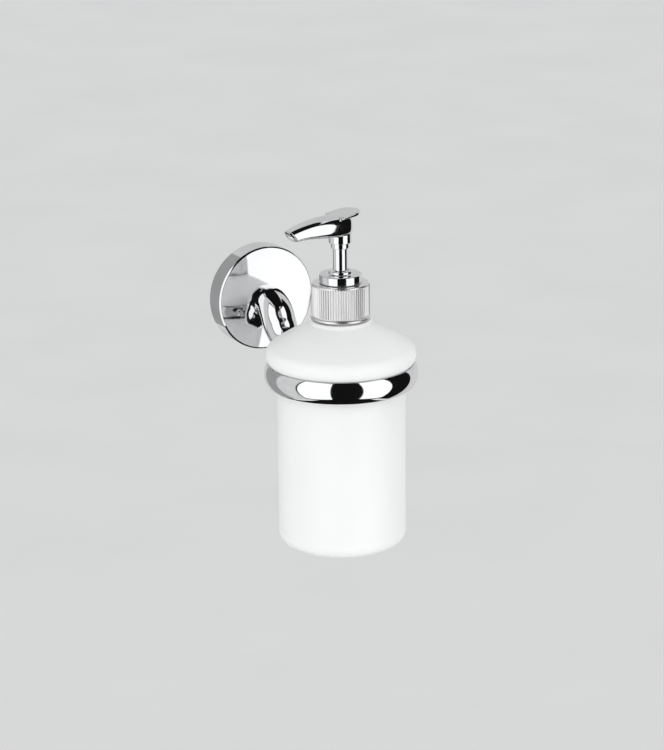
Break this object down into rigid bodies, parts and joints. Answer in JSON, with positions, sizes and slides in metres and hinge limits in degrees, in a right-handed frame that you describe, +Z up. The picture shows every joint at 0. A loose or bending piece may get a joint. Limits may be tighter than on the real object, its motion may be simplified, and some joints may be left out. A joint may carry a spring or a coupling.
{
  "type": "wall mounted soap dispenser",
  "caption": "Wall mounted soap dispenser: a frosted glass bottle with a chrome press pump, carried in a chrome ring on a curved arm and round wall rosette.",
  "frame": {"origin": "centre of the rosette's back, on the wall plane", "axes": "+Z up, the object stands out from the wall along -Y, +X to the right seen from the front"},
  "size_m": [0.0702, 0.1171, 0.1571],
  "materials": {
    "chrome_bracket": "polished chrome plate",
    "chrome_pump": "polished chrome plate",
    "chrome_cap": "polished chrome plate over fine ribs",
    "plate_zinc": "raw die-cast zinc",
    "screw_steel": "plain stainless steel",
    "ball_steel": "bright stainless steel",
    "frosted_glass": "satin white frosted glass",
    "clear_plastic": "natural translucent polypropylene",
    "white_plastic": "white moulded plastic",
    "seal_plastic": "soft natural polyethylene",
    "gasket_foam": "white foamed sealing washer"
  },
  "bodies": {
    "bracket": {"wall_plate": "plate_zinc", "rosette_cover": "chrome_bracket", "grub_screw": "screw_steel", "arm_screw": "screw_steel", "arm_washer": "screw_steel", "support_arm": "chrome_bracket", "holder_ring": "chrome_bracket"},
    "bottle": {"glass_bottle": "frosted_glass"},
    "pump": {"neck_gasket": "gasket_foam", "pump_housing": "clear_plastic", "dip_tube": "clear_plastic", "pump_collar": "chrome_pump", "stem_seal": "seal_plastic", "return_spring": "ball_steel"},
    "cap": {"screw_cap": "chrome_cap"},
    "foot_valve": {"inlet_ball": "ball_steel"},
    "plunger": {"piston_rod": "white_plastic", "piston": "seal_plastic"},
    "head_valve": {"outlet_ball": "ball_steel"},
    "head": {"pump_stem": "chrome_pump", "head_insert": "chrome_pump", "pump_head": "chrome_pump"}
  },
  "joints": [
    {"name": "bottle_lift", "type": "slide", "parent": "bracket", "child": "bottle", "axis": [0, 0, 1], "range_m": [0, 0.087]},
    {"name": "pump_rise", "type": "slide", "parent": "bottle", "child": "pump", "axis": [0, 0, 1], "range_m": [0, 0.00476]},
    {"name": "cap_turn", "type": "hinge", "parent": "pump", "child": "cap", "pos_m": [0, -0.082, 0.015], "axis": [0, 0, 1], "range_deg": [0, 540]},
    {"name": "foot_valve_lift", "type": "slide", "parent": "pump", "child": "foot_valve", "axis": [0, 0, 1], "range_m": [0, 0.0015]},
    {"name": "head_press", "type": "slide", "parent": "pump", "child": "plunger", "axis": [0, 0, -1], "range_m": [0, 0.0095], "stiffness_N_per_m": 700, "springref_m": -0.006, "deforming": ["return_spring"]},
    {"name": "head_valve_lift", "type": "slide", "parent": "plunger", "child": "head_valve", "axis": [0, 0, 1], "range_m": [0, 0.0015]},
    {"name": "head_turn", "type": "hinge", "parent": "plunger", "child": "head", "pos_m": [0, -0.082, 0.03], "axis": [0, 0, 1], "continuous": true}
  ],
  "couplings": [
    {"joint": "cap_turn", "follows": "pump_rise", "rad_per_m": 1978.9}
  ]
}
